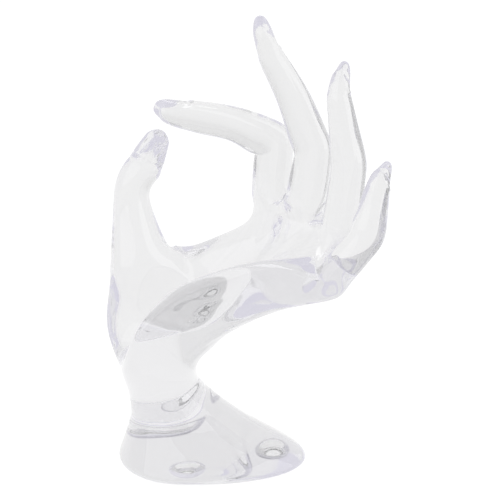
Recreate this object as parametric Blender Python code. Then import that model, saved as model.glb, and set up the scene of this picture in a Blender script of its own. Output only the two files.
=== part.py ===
"""Clear moulded hand that holds rings, bracelets and chains, on a flared foot with three bumpers.

The tables are in millimetres and degrees, from a point under the wrist. The last step turns
them into metres from the origin, which is on the shelf under the middle of the object.
+Z is up, +X runs from the heel of the foot to its narrow end, -Y is the little finger's side.
The skin is a cage of quads. Twenty columns run up the foot, the wrist and the palm. Each
finger grows from eight of them and the thumb from a ring of twelve. Subdivision then rounds it.
"""

import math

import bmesh
import bpy
import numpy as np

MM = 0.001

# The middle of the finished object seen from above, which becomes the origin.
MIDDLE = (12.5, 1.4)

# The hand's own frame: distal along the palm, ulnar towards the little finger, palmar out of the palm.
HAND_YAW = 13.0
WRIST_BACK = 66.0
HAND_ROLL = 4.0
KNUCKLE = (32.5, 13.0, 82.3)

# Each finger: its knuckle from the middle knuckle (ulnar, distal, palmar), then three phalanges
# as (length, curl from distal to palmar, spread to ulnar), then half widths and half depths at
# knuckle, mid first phalanx, first joint, mid second, second joint, nail fold, flesh end. The
# fold is extra flesh on the palm side of the first joint, the bow lifts the middle of the second
# phalanx, the pulp is extra flesh on the palm side of the last three, and the web is where the
# finger leaves the palm.
FINGERS = {
    "index": {
        "knuckle": (-16.6, -8.0, 1.9),
        "bones": ((33.8, 62, 0), (28.0, 134, -2), (21.0, 142, -1)),
        "half_width": (6.9, 6.5, 6.9, 6.2, 5.6, 5.0, 4.4),
        "half_depth": (7.6, 7.5, 7.8, 6.4, 5.7, 5.0, 4.3),
        "fold": 1.0,
        "bow": 1.3,
        "pulp": 1.6,
        "web": 12.0,
        "nail": 14.0,
        "free_edge": 4.0,
        "shoulder": 0.0,
    },
    "middle": {
        "knuckle": (0.0, 0.0, 0.0),
        "bones": ((34.0, 58, 0), (36.7, 90.5, -9), (17.3, 83.5, -8)),
        "half_width": (7.1, 6.7, 6.9, 6.1, 5.3, 4.7, 3.9),
        "half_depth": (7.6, 7.7, 7.1, 6.2, 5.0, 4.4, 3.8),
        "fold": 0.8,
        "bow": 1.4,
        "pulp": 0.3,
        "web": 8.0,
        "nail": 13.5,
        "free_edge": 5.0,
        "shoulder": 0.0,
    },
    "ring": {
        "knuckle": (15.1, 9.0, -4.9),
        "bones": ((32.9, 61.3, 4), (25.6, 74, -8), (13.6, 57, -6)),
        "half_width": (7.0, 6.8, 6.6, 5.6, 4.9, 4.3, 3.7),
        "half_depth": (7.3, 6.9, 6.7, 5.4, 4.6, 4.2, 3.7),
        "fold": 0.0,
        "bow": 0.0,
        "pulp": 0.3,
        "web": 4.0,
        "nail": 11.5,
        "free_edge": 5.0,
        "shoulder": 0.5,
    },
    "little": {
        "knuckle": (29.6, -2.8, -9.0),
        "bones": ((24.8, 30.4, 11), (14.8, 53.7, -3), (14.1, 49, -4)),
        "half_width": (6.9, 6.7, 6.5, 5.6, 4.5, 3.9, 3.3),
        "half_depth": (7.2, 6.4, 6.4, 5.6, 4.8, 4.1, 3.4),
        "fold": 0.5,
        "bow": 0.0,
        "pulp": 1.0,
        "web": 3.0,
        "nail": 10.0,
        "free_edge": 4.2,
        "shoulder": 0.4,
    },
}

# The thumb's stations: centre, half width, half depth and lean of its axis.
THUMB = (
    ((-27.2, 12.4, 71.5), 12.0, 11.4, (-0.38, 0.22, 0.90)),
    ((-28.2, 14.8, 80.5), 9.8, 9.4, (-0.14, 0.22, 0.97)),
    ((-29.4, 16.6, 88.5), 7.9, 7.9, (-0.04, 0.12, 0.99)),
    ((-30.3, 17.4, 95.5), 6.7, 7.2, (0.0, 0.05, 1.0)),
    ((-29.5, 17.4, 101.5), 6.9, 7.1, (0.26, -0.05, 0.96)),
    ((-25.4, 16.8, 107.2), 7.1, 6.7, (0.46, -0.12, 0.88)),
)
THUMB_TIP = (-18.4, 14.2, 122.2)
THUMB_WEB_FILL = (0.8, 0.0, 1.6)
THUMB_WEB_DRAW = (2.0, 6.0, 6.0, 2.0)
THUMB_NAIL = 14.5
THUMB_FREE_EDGE = 3.6
THUMB_FOLD_SIZE = (6.5, 6.2)
THUMB_END_SIZE = (4.9, 4.3)
NAIL_STEP = 0.5

# How far before and after a joint its rings stand, and the first ring after the web.
JOINT_REACH = 4.6
WEB_REACH = 4.5

# Wrist and palm rows: centre, tilt back from level, half width, palmar half depth, dorsal half
# depth and what the thumb's side adds to it, squareness of the thumb's and the little finger's
# side, the bulge of the thumb's side, then (height, place across) of the little finger's side
# and (depth, place across) of the hollow between them.
PALM = (
    ((-16.8, 0.0, 28.5), 0, 17.6, 14.9, (11.6, 0.0), 2.0, 2.0, 0.0, (0.0, 0.62), (0.0, 0.0)),
    ((-19.3, 0.0, 36.5), 4, 18.0, 18.8, (12.8, 0.0), 2.0, 2.2, 4.0, (-1.0, 0.62), (2.0, 0.1)),
    ((-19.7, 0.5, 44.5), 14, 19.0, 18.6, (16.0, 2.0), 2.1, 2.6, 7.4, (-1.0, 0.62), (11.0, 0.2)),
    ((-16.3, 1.0, 51.0), 27, 20.0, 18.2, (16.3, 4.5), 2.2, 3.0, 8.2, (0.0, 0.7), (22.0, 0.15)),
    ((-10.8, 2.0, 56.4), 40, 21.5, 17.6, (14.1, 7.0), 2.3, 3.2, 6.5, (2.0, 0.75), (26.0, 0.12)),
    ((-4.6, 3.0, 60.6), 51, 23.5, 15.8, (12.0, 8.5), 2.4, 3.4, 6.5, (5.0, 0.78), (25.0, 0.1)),
    ((3.5, 4.0, 64.6), 60, 26.0, 13.2, (10.6, 6.5), 2.5, 3.6, 2.6, (6.5, 0.78), (21.0, 0.1)),
    ((12.5, 5.0, 68.6), 65, 28.0, 11.3, (9.1, 4.0), 2.6, 3.4, 2.8, (7.5, 0.8), (13.0, 0.1)),
    ((22.0, 6.0, 72.9), 66, 29.5, 10.0, (11.5, 1.0), 2.7, 3.2, 2.4, (4.5, 0.82), (6.0, 0.1)),
)
THUMB_FIRST_ROW = 2

# The knuckle row's palmar and dorsal height as shares of each finger's depth: over each knuckle,
# after each finger, and before the first. The palm falls away towards the little finger.
OVER_KNUCKLE = ((1.05, 1.13), (1.05, 1.13), (1.05, 1.13), (1.0, 0.88))
AFTER_KNUCKLE = ((1.0, 0.92), (0.95, 0.92), (0.85, 0.92), (0.7, 0.6))
BEFORE_KNUCKLES = (0.72, 0.75)

# The foot's rows from the ground up: height, left end, right end, half depth, place of the
# greatest depth, and how much narrower the right end is.
FOOT_YAW = -12.0
FOOT = (
    (0.0, -33.6, 34.0, 30.6, -8.0, 0.12),
    (1.1, -35.0, 35.4, 32.0, -8.0, 0.12),
    (3.2, -34.9, 35.2, 31.6, -8.0, 0.12),
    (6.8, -33.6, 30.8, 28.8, -9.0, 0.16),
    (11.4, -31.9, 22.4, 25.2, -11.0, 0.2),
    (16.0, -30.8, 12.4, 22.2, -12.5, 0.2),
)
CUT_ROW = (20.0, -30.3, 3.4, 19.6, -13.5, 0.15)
CUT_LEAN = 0.12

SPIGOT_RADIUS = 9.0
SPIGOT_LENGTH = 8.0
SPIGOT_SHOULDER = 1.0
SPIGOT_ROUNDING = 1.5
UNDERSIDE_SHIFT = 4.0
FIT = 0.3

BUMPER_RADIUS = 6.35
BUMPER_HEIGHT = 1.9
LIFT = BUMPER_HEIGHT + FIT
BUMPER_PLACES = {
    "bumper_front": (-9.0, -18.0),
    "bumper_back": (-15.0, 17.5),
    "bumper_tip": (20.0, -5.0),
}

COLUMNS = 20
ROUND_SPACING = [-math.cos(math.pi * (i + 1) / 10) for i in range(9)]
THUMB_SPACING = [-0.97, -0.8, -0.5, -0.14, 0.12, 0.36, 0.6, 0.8, 0.95]
FLAT_SPACING = [-0.95, -0.76, -0.49, -0.2, 0.05, 0.3, 0.53, 0.77, 0.95]
SPACINGS = (
    ROUND_SPACING,
    ROUND_SPACING,
    THUMB_SPACING,
    THUMB_SPACING,
    THUMB_SPACING,
    THUMB_SPACING,
    FLAT_SPACING,
    FLAT_SPACING,
    FLAT_SPACING,
)


def limit_scale(count):
    """How much wider a ring of the cage is than the rounded skin that it becomes."""
    return 6 / (4 + 2 * math.cos(2 * math.pi / count))


def placed(point):
    """A point of the tables in metres from the object's origin."""
    return ((point[0] - MIDDLE[0]) * MM, (point[1] - MIDDLE[1]) * MM, point[2] * MM)


def lifted(point):
    """A point of the hand's tables, raised by the bumpers' height."""
    return np.asarray(point, float) + (0.0, 0.0, LIFT)


def unit(vector):
    """The vector at length one."""
    vector = np.asarray(vector, float)
    return vector / np.linalg.norm(vector)


def hand_frame():
    """Distal, ulnar and palmar directions of the hand, from its yaw, wrist bend and roll."""
    yaw, back, roll = np.radians([HAND_YAW, WRIST_BACK, HAND_ROLL])
    level = np.array([math.cos(yaw), math.sin(yaw), 0])
    distal = math.sin(back) * level + math.cos(back) * np.array([0, 0, 1])
    ulnar = np.array([math.sin(yaw), -math.cos(yaw), 0])
    palmar = np.cross(ulnar, distal)
    return (
        distal,
        ulnar * math.cos(roll) - palmar * math.sin(roll),
        palmar * math.cos(roll) + ulnar * math.sin(roll),
    )


DISTAL, ULNAR, PALMAR = hand_frame()


class Cage:
    """Points and quads, gathered ring by ring."""

    def __init__(self):
        self.points = []
        self.faces = []
        self.creases = {}

    def ring(self, points):
        """Adds a ring of points and returns their numbers."""
        first = len(self.points)
        self.points.extend(np.asarray(points, float))
        return list(range(first, len(self.points)))

    def bridge(self, lower, upper):
        """Joins two rings of one length with a band of quads."""
        for i in range(len(lower)):
            j = (i + 1) % len(lower)
            self.faces.append((lower[i], lower[j], upper[j], upper[i]))

    def crease(self, ring, amount, closed=True):
        """Sharpens the edges along a ring."""
        for i in range(len(ring) - (not closed)):
            self.creases[(ring[i], ring[(i + 1) % len(ring)])] = amount

    def pole(self, ring, lift=(0.0, 0.0, 0.0)):
        """Closes a ring on one point in its middle."""
        middle = np.mean([self.points[i] for i in ring], axis=0) + np.asarray(lift)
        centre = self.ring([middle])[0]
        for i in range(0, len(ring), 2):
            after = ring[(i + 2) % len(ring)]
            self.faces.append((ring[i], ring[i + 1], after, centre))

    def grid_cap(self, ring, lift):
        """Closes a ring of twelve with nine quads round four points."""
        p = [self.points[i] for i in ring]
        corners = [(0, 3, 6, 9), (3, 6, 9, 0), (6, 9, 0, 3), (9, 0, 3, 6)]
        shares = [0.5 * p[a] + 0.2 * p[b] + 0.1 * p[c] + 0.2 * p[d] for a, b, c, d in corners]
        inner = self.ring([share + lift for share in shares])
        for side in range(4):
            a = side * 3
            here, after = inner[side], inner[(side + 1) % 4]
            self.faces.append((ring[a], ring[a + 1], here, ring[a - 1]))
            self.faces.append((ring[a + 1], ring[a + 2], after, here))
        self.faces.append(tuple(inner))


def oval(centre, side, palm, half_side, half_palm, half_back, angles, scale):
    """Points round an oval whose palm side and back side can differ in depth."""
    rows = []
    for angle in angles:
        depth = half_palm if math.cos(angle) > 0 else half_back
        rows.append(
            np.asarray(centre)
            + scale * half_side * math.sin(angle) * side
            + scale * depth * math.cos(angle) * palm
        )
    return rows


FINGER_ANGLES = [math.radians(a) for a in (-45, 0, 45, 90, 135, 180, 225, 270)]
THUMB_ANGLES = [math.radians(a) for a in range(-45, 315, 30)]


def bone_direction(curl, spread):
    """A phalanx's direction from its curl and spread."""
    curl, spread = math.radians(curl), math.radians(spread)
    flat = math.cos(curl) * DISTAL + math.sin(curl) * PALMAR
    return math.cos(spread) * flat + math.sin(spread) * ULNAR


def finger_axes(direction):
    """The side and palm directions of a section across this direction."""
    side = unit(ULNAR - np.dot(ULNAR, direction) * direction)
    return side, np.cross(side, direction)


def knuckle_point(finger):
    """A finger's knuckle in the object's frame."""
    ulnar, distal, palmar = finger["knuckle"]
    return lifted(KNUCKLE) + ulnar * ULNAR + distal * DISTAL + palmar * PALMAR


def joints_of(finger):
    """The knuckle, both joints and the tip, with the three directions between them."""
    points = [knuckle_point(finger)]
    directions = []
    for length, curl, spread in finger["bones"]:
        directions.append(bone_direction(curl, spread))
        points.append(points[-1] + length * directions[-1])
    return points, directions


def finger_sections(finger):
    """The finger's rings after its web: (centre, direction, half width, palm depth, back depth)."""
    points, (first, second, third) = joints_of(finger)
    length = [bone[0] for bone in finger["bones"]]
    wide, deep = finger["half_width"], finger["half_depth"]
    bend_one, bend_two = unit(first + second), unit(second + third)
    bow = -finger["bow"] * finger_axes(second)[1]
    fold = finger["fold"]
    rows = [
        (points[0] + (finger["web"] + WEB_REACH) * first, first, wide[1], deep[1], deep[1]),
        (points[0] + 0.66 * length[0] * first, first, wide[1], deep[1], deep[1]),
        (points[1] - JOINT_REACH * first, unit(3 * first + second), wide[2], deep[2], deep[2]),
        (points[1], bend_one, wide[2], deep[2] + 0.5 * fold, deep[2]),
        (points[1] + JOINT_REACH * second, unit(first + 3 * second), wide[2], deep[2] + fold, deep[2]),
        (points[1] + 0.57 * length[1] * second + bow, second, wide[3], deep[3], deep[3]),
        (points[2], bend_two, wide[4], deep[4] + finger["pulp"], deep[4]),
    ]
    return rows


def nail_sections(tip, direction, nail, free_edge, shoulder, pulp, fold_size, end_size):
    """Rings from the nail's fold to its point.

    The plate lies a step below the skin, and past the flesh the free edge narrows bluntly."""
    wide, deep = fold_size
    end_wide, end_deep = end_size
    middle_wide, middle_deep = 0.5 * (wide + end_wide), 0.5 * (deep + end_deep)
    rows = (
        (nail + 0.9, wide, deep + pulp, deep),
        (nail - 0.4, wide, deep + pulp, deep - NAIL_STEP),
        (0.5 * (nail + free_edge), middle_wide, middle_deep + pulp, middle_deep - NAIL_STEP),
        (free_edge + 0.6, end_wide, end_deep + 0.5 * pulp, end_deep - 0.6 * NAIL_STEP),
        (free_edge - 0.5, 0.93 * end_wide, 0.9 * end_deep - shoulder, 0.86 * end_deep),
        (0.5 * free_edge, 0.74 * end_wide, 0.7 * end_deep - shoulder, 0.7 * end_deep),
        (0.12 * free_edge, 0.4 * end_wide, 0.4 * end_deep - 0.5 * shoulder, 0.4 * end_deep),
    )
    return [(tip - back * direction, direction, w, p, b) for back, w, p, b in rows]


def row_axes(tilt):
    """Ulnar and palmar directions of a wrist or palm row that is tilted back this far."""
    share = tilt / WRIST_BACK
    yaw, back, roll = np.radians([HAND_YAW * share, tilt, HAND_ROLL * share])
    level = np.array([math.cos(yaw), math.sin(yaw), 0])
    distal = math.sin(back) * level + math.cos(back) * np.array([0, 0, 1])
    ulnar = np.array([math.sin(yaw), -math.cos(yaw), 0])
    palmar = np.cross(ulnar, distal)
    return (
        ulnar * math.cos(roll) - palmar * math.sin(roll),
        palmar * math.cos(roll) + ulnar * math.sin(roll),
    )


def bump(across, place, reach):
    """A smooth rise of height one at a place across the palm."""
    return math.exp(-(((across - place) / reach) ** 2))


def palm_row(row, spacing):
    """Twenty points: nine palmar from the thumb's side, the side, nine dorsal back, the other side."""
    centre, tilt, half, palm, (back, fuller), thumb_square, square, thumb_side, little_side, hollow = row
    centre = lifted(centre)
    ulnar, palmar = row_axes(tilt)
    scale = limit_scale(COLUMNS)

    def height(across, power):
        return (1 - abs(across) ** power) ** (1 / power)

    def up(across):
        rise = thumb_side * bump(across, -0.62, 0.3)
        rise += little_side[0] * bump(across, little_side[1], 0.3)
        dip = hollow[0] * bump(across, hollow[1], 0.34)
        return palm * height(across, square if across > 0 else thumb_square) + rise - dip

    def down(across):
        return (back + fuller * 0.5 * (1 - across)) * height(across, thumb_square)

    points = [centre + scale * (half * u * ulnar + up(u) * palmar) for u in spacing]
    points.append(centre + scale * half * ulnar)
    for u in reversed(spacing):
        points.append(centre + scale * (half * u * ulnar - down(u) * palmar))
    points.append(centre - scale * half * ulnar)
    return points


def foot_row(row, lean=0.0):
    """Twenty points round the foot at one height, in the same order as a palm row."""
    height, left, right, depth, widest, taper = row
    scale = limit_scale(COLUMNS)
    turn = math.radians(FOOT_YAW)
    points = []
    for i in range(COLUMNS):
        angle = math.pi * (1 - (i + 1) / 10)
        along, across = -math.sin(angle), math.cos(angle)
        x = scale * along * ((right - widest) if along > 0 else (widest - left))
        y = -scale * across * depth * (1 - taper * max(along, 0.0))
        turned_x = x * math.cos(turn) - y * math.sin(turn)
        turned_y = x * math.sin(turn) + y * math.cos(turn)
        points.append((widest + turned_x, turned_y, height + lean * x + LIFT))
    return points


def knuckle_row():
    """The last palm row, through the four knuckles."""
    fingers = list(FINGERS.values())
    roots = [knuckle_point(f) for f in fingers]
    palms, backs = [], []
    for i, finger in enumerate(fingers):
        half, deep = finger["half_width"][0], finger["half_depth"][0] + 1.0
        first = bone_direction(*finger["bones"][0][1:])
        out = unit(PALMAR + 0.25 * np.cross(finger_axes(first)[0], first))
        rim = 0.85 * half * ULNAR
        if i == 0:
            palms.append(roots[0] - rim + BEFORE_KNUCKLES[0] * deep * out)
            backs.append(roots[0] - rim - BEFORE_KNUCKLES[1] * deep * out)
        palms.append(roots[i] + OVER_KNUCKLE[i][0] * deep * out)
        backs.append(roots[i] - OVER_KNUCKLE[i][1] * deep * out)
        after = 0.5 * (roots[i] + roots[i + 1]) if i < 3 else roots[3] + rim
        palms.append(after + AFTER_KNUCKLE[i][0] * deep * out)
        backs.append(after - AFTER_KNUCKLE[i][1] * deep * out)
    little = roots[3] + fingers[3]["half_width"][0] * 1.2 * ULNAR
    index = roots[0] - fingers[0]["half_width"][0] * 1.2 * ULNAR
    return palms + [little] + backs[::-1] + [index]


def web_row():
    """The row that the fingers split from, and the three points between them."""
    palms, backs, webs = [None] * 9, [None] * 9, {}
    rings = []
    scale = limit_scale(8)
    for finger in FINGERS.values():
        first = bone_direction(*finger["bones"][0][1:])
        side, palm = finger_axes(first)
        centre = knuckle_point(finger) + finger["web"] * first
        half, deep = finger["half_width"][0], finger["half_depth"][0]
        rings.append(oval(centre, side, palm, half, deep, deep, FINGER_ANGLES, scale))
    for i, ring in enumerate(rings):
        for offset, place in ((0, 0), (1, 1), (2, 2)):
            column = 2 * i + offset
            for store, found in ((palms, ring[place]), (backs, ring[6 - offset])):
                shared = store[column] is not None
                store[column] = 0.5 * (store[column] + found) if shared else found
        if i:
            webs[2 * i] = 0.5 * (rings[i - 1][3] + ring[7])
    return palms, rings[3][3], backs, rings[0][7], webs


def grow_finger(cage, loop, finger):
    """The finger's rings from its root loop to the nail's point."""
    points, directions = joints_of(finger)
    wide, deep = finger["half_width"], finger["half_depth"]
    sections = finger_sections(finger) + nail_sections(
        points[3],
        directions[2],
        finger["nail"],
        finger["free_edge"],
        finger["shoulder"],
        finger["pulp"],
        (wide[5], deep[5]),
        (wide[6], deep[6]),
    )
    before = loop
    for centre, direction, half, palm_depth, back_depth in sections:
        side, palm = finger_axes(direction)
        section = oval(centre, side, palm, half, palm_depth, back_depth, FINGER_ANGLES, limit_scale(8))
        ring = cage.ring(section)
        cage.bridge(before, ring)
        before = ring
    cage.pole(before, 0.5 * directions[2])


def grow_thumb(cage, loop):
    """The thumb's rings, with its nail turned to the little finger's side."""
    before = loop
    nail_out = np.array([0.1, -0.95, 0.3])
    rows = [(lifted(c), unit(lean), wide, deep, deep) for c, wide, deep, lean in THUMB]
    tip = lifted(THUMB_TIP)
    towards = unit(tip - rows[-1][0])
    sizes = THUMB_FOLD_SIZE, THUMB_END_SIZE
    rows += nail_sections(tip, towards, THUMB_NAIL, THUMB_FREE_EDGE, 0.0, 0.0, *sizes)
    for centre, direction, wide, palm_depth, back_depth in rows:
        palm = unit(-nail_out + np.dot(nail_out, direction) * direction)
        side = np.cross(direction, palm)
        points = oval(centre, side, palm, wide, palm_depth, back_depth, THUMB_ANGLES, limit_scale(12))
        if before is loop:
            fill = np.outer(np.maximum(-np.sin(THUMB_ANGLES), 0.0), THUMB_WEB_FILL)
            points = np.asarray(points) + 0.5 * fill
            halfway = 0.5 * (np.array([cage.points[i] for i in loop]) + points) + fill
            before = cage.ring(halfway)
            cage.bridge(loop, before)
        ring = cage.ring(points)
        cage.bridge(before, ring)
        before = ring
    cage.grid_cap(before, 0.4 * towards)


def hand_skin(cage, first):
    """Wrist, palm, fingers and thumb on top of a first ring of twenty."""
    rows = [first]
    for row, spacing in zip(PALM, SPACINGS):
        rows.append(cage.ring(palm_row(row, spacing)))
    for column, pull in enumerate(THUMB_WEB_DRAW):
        cage.points[rows[THUMB_FIRST_ROW + 4][column]] += pull * DISTAL
    rows.append(cage.ring(knuckle_row()))
    palms, little_side, backs, index_side, webs = web_row()
    rows.append(cage.ring(palms + [little_side] + backs[::-1] + [index_side]))
    start = THUMB_FIRST_ROW + 1
    for number in range(len(rows) - 1):
        lower, upper = rows[number], rows[number + 1]
        for i in range(COLUMNS):
            if start <= number < start + 3 and i < 3:
                continue
            j = (i + 1) % COLUMNS
            cage.faces.append((lower[i], lower[j], upper[j], upper[i]))
    top = rows[-1]
    between = {column: cage.ring([point])[0] for column, point in webs.items()}
    between[0], between[8] = top[19], top[9]
    for i, finger in enumerate(FINGERS.values()):
        palm = [top[2 * i + step] for step in range(3)]
        back = [top[18 - 2 * i - step] for step in range(3)]
        loop = palm + [between[2 * i + 2]] + back[::-1] + [between[2 * i]]
        grow_finger(cage, loop, finger)
    root = [rows[start + 3 - step][0] for step in range(4)]
    root += [rows[start][1], rows[start][2]]
    root += [rows[start + step][3] for step in range(4)]
    root += [rows[start + 3][2], rows[start + 3][1]]
    grow_thumb(cage, root)


def foot_skin(cage):
    """The foot's rows from its flat underside up, ending on the row where the wrist is set in."""
    rows = [cage.ring(foot_row(row)) for row in FOOT]
    for lower, upper in zip(rows, rows[1:]):
        cage.bridge(lower, upper)
    return rows


def round_row(radius, height, lean, centre_x):
    """Twenty points on a circle, in a palm row's order."""
    scale = limit_scale(COLUMNS)
    points = []
    for i in range(COLUMNS):
        angle = math.pi * (1 - (i + 1) / 10)
        x = centre_x - scale * radius * math.sin(angle)
        y = -scale * radius * math.cos(angle)
        points.append((x, y, height + lean * (x - centre_x) + LIFT))
    return points


def mesh_object(name, cage, level, colour):
    """The cage as a rounded, smooth-shaded object in metres."""
    mesh = bpy.data.meshes.new(name)
    mesh.from_pydata([placed(p) for p in cage.points], [], cage.faces)
    edges = {tuple(sorted(edge.vertices)): edge.index for edge in mesh.edges}
    sharp = mesh.attributes.new("crease_edge", "FLOAT", "EDGE")
    for pair, amount in cage.creases.items():
        sharp.data[edges[tuple(sorted(pair))]].value = amount
    mesh.shade_smooth()
    thing = bpy.data.objects.new(name, mesh)
    bpy.context.scene.collection.objects.link(thing)
    rounding = thing.modifiers.new("rounding", "SUBSURF")
    rounding.levels = level
    rounding.render_levels = level
    thing.data.materials.append(colour)
    return thing


def clear_plastic(name, tint, roughness):
    """A plain see-through plastic."""
    material = bpy.data.materials.new(name)
    material.use_nodes = True
    shader = material.node_tree.nodes["Principled BSDF"]
    shader.inputs["Base Color"].default_value = (*tint, 1.0)
    shader.inputs["Roughness"].default_value = roughness
    shader.inputs["Transmission Weight"].default_value = 1.0
    shader.inputs["IOR"].default_value = 1.49
    return material


def build_hand(colour):
    """The hand from the wrist's foot up, with the spigot that sets it into the foot."""
    cage = Cage()
    centre_x = CUT_ROW[4]
    bottom = CUT_ROW[0] + FIT / 2
    rim = cage.ring(foot_row((bottom,) + CUT_ROW[1:], CUT_LEAN))
    shoulder = cage.ring(round_row(SPIGOT_RADIUS + SPIGOT_SHOULDER, bottom, CUT_LEAN, centre_x))
    neck = cage.ring(round_row(SPIGOT_RADIUS, bottom - SPIGOT_SHOULDER, 0.0, centre_x))
    depth = CUT_ROW[0] - SPIGOT_LENGTH
    end = cage.ring(round_row(SPIGOT_RADIUS, depth, 0.0, centre_x))
    floor = cage.ring(round_row(SPIGOT_RADIUS - SPIGOT_ROUNDING, depth, 0.0, centre_x))
    cage.pole(floor[::-1])
    cage.bridge(floor, end)
    cage.bridge(end, neck)
    cage.bridge(neck, shoulder)
    cage.bridge(shoulder, rim)
    cage.crease(rim, 1.0)
    cage.crease(end, 1.0)
    cage.crease(shoulder, 1.0)
    hand_skin(cage, rim)
    return mesh_object("hand", cage, 1, colour)


def build_base(colour):
    """The flared foot, with the socket that takes the hand's spigot."""
    cage = Cage()
    rows = foot_skin(cage)
    centre_x = CUT_ROW[4]
    top = CUT_ROW[0] - FIT / 2
    rim = cage.ring(foot_row((top,) + CUT_ROW[1:], CUT_LEAN))
    bore = SPIGOT_RADIUS + FIT
    mouth = cage.ring(round_row(bore + SPIGOT_SHOULDER, top, CUT_LEAN, centre_x))
    wall = cage.ring(round_row(bore, top - SPIGOT_SHOULDER, 0.0, centre_x))
    depth = CUT_ROW[0] - SPIGOT_LENGTH - FIT
    end = cage.ring(round_row(bore, depth, 0.0, centre_x))
    floor = cage.ring(round_row(SPIGOT_RADIUS - SPIGOT_ROUNDING, depth, 0.0, centre_x))
    cage.bridge(rows[-1], rim)
    cage.bridge(rim, mouth)
    cage.bridge(mouth, wall)
    cage.bridge(wall, end)
    cage.bridge(end, floor)
    cage.pole(floor)
    under = cage.ring([(0.5 * x - UNDERSIDE_SHIFT, 0.5 * y, z) for x, y, z in foot_row(FOOT[0])])
    cage.bridge(under, rows[0])
    cage.pole(under[::-1])
    cage.crease(rim, 1.0)
    cage.crease(mouth, 1.0)
    cage.crease(end, 1.0)
    cage.crease(rows[0], 0.6)
    return mesh_object("base", cage, 1, colour)


def build_bumper(name, place, colour):
    """A clear dome that sticks to the foot's underside and carries it off the shelf."""
    mesh = bpy.data.meshes.new(name)
    shape = bmesh.new()
    profile = (
        (0.0, 0.0),
        (0.55 * BUMPER_RADIUS, 0.0),
        (0.72 * BUMPER_RADIUS, 0.06 * BUMPER_HEIGHT),
        (0.9 * BUMPER_RADIUS, 0.32 * BUMPER_HEIGHT),
        (BUMPER_RADIUS, 0.8 * BUMPER_HEIGHT),
        (BUMPER_RADIUS, BUMPER_HEIGHT),
        (0.0, BUMPER_HEIGHT),
    )
    points = [shape.verts.new(placed((place[0] + r, place[1], z))) for r, z in profile]
    edges = [shape.edges.new(pair) for pair in zip(points, points[1:])]
    bmesh.ops.spin(
        shape,
        geom=points + edges,
        cent=placed((place[0], place[1], 0.0)),
        axis=(0, 0, 1),
        angle=math.tau,
        steps=40,
        use_merge=True,
    )
    bmesh.ops.remove_doubles(shape, verts=shape.verts, dist=0.01 * MM)
    bmesh.ops.recalc_face_normals(shape, faces=shape.faces)
    shape.to_mesh(mesh)
    shape.free()
    mesh.shade_smooth()
    mesh.materials.append(colour)
    bumper = bpy.data.objects.new(name, mesh)
    bpy.context.scene.collection.objects.link(bumper)
    return bumper


def main():
    """Clears the scene and builds the hand, its foot and the bumpers."""
    for thing in list(bpy.data.objects):
        bpy.data.objects.remove(thing)
    clear = clear_plastic("clear plastic", (0.94, 0.94, 0.97), 0.02)
    soft = clear_plastic("clear soft bumper", (0.95, 0.95, 0.96), 0.08)
    build_hand(clear)
    build_base(clear)
    for name, place in BUMPER_PLACES.items():
        build_bumper(name, place, soft)


main()
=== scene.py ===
"""Clear moulded hand for rings, bracelets and chains, with its finish, its studio and its camera.

The hand and its foot are one clear skin here. It starts as a cage of quads in millimetres, which
subdivision rounds. Then the nails, the joint's crease and the palm's lines are pressed into it as
offsets along its normals. The bumpers are turned profiles. Each is bonded to the foot, so it
reaches a little way into it.
"""

import math

import bpy
import numpy as np
from mathutils import Matrix, Vector


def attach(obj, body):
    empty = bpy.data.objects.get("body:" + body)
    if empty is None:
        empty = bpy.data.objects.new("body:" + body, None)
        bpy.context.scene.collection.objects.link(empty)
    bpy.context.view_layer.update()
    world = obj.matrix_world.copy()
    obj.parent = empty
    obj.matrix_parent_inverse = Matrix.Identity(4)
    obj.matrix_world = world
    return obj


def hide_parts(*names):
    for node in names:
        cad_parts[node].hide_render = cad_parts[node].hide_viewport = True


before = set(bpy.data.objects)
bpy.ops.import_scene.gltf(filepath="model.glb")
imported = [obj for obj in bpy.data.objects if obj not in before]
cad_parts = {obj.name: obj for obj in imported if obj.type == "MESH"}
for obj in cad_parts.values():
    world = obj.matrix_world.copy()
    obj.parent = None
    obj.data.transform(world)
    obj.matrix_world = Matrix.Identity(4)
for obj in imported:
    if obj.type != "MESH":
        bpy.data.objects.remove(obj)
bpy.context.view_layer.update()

MM = 0.001

# The middle of the finished object seen from above, in the tables' millimetres.
MIDDLE = (12.5, 1.4)

# The hand's own frame: distal along the palm, ulnar towards the little finger, palmar out of it.
HAND_YAW = 13.0
WRIST_BACK = 66.0
HAND_ROLL = 4.0
KNUCKLE = (32.5, 13.0, 82.3)

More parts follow.
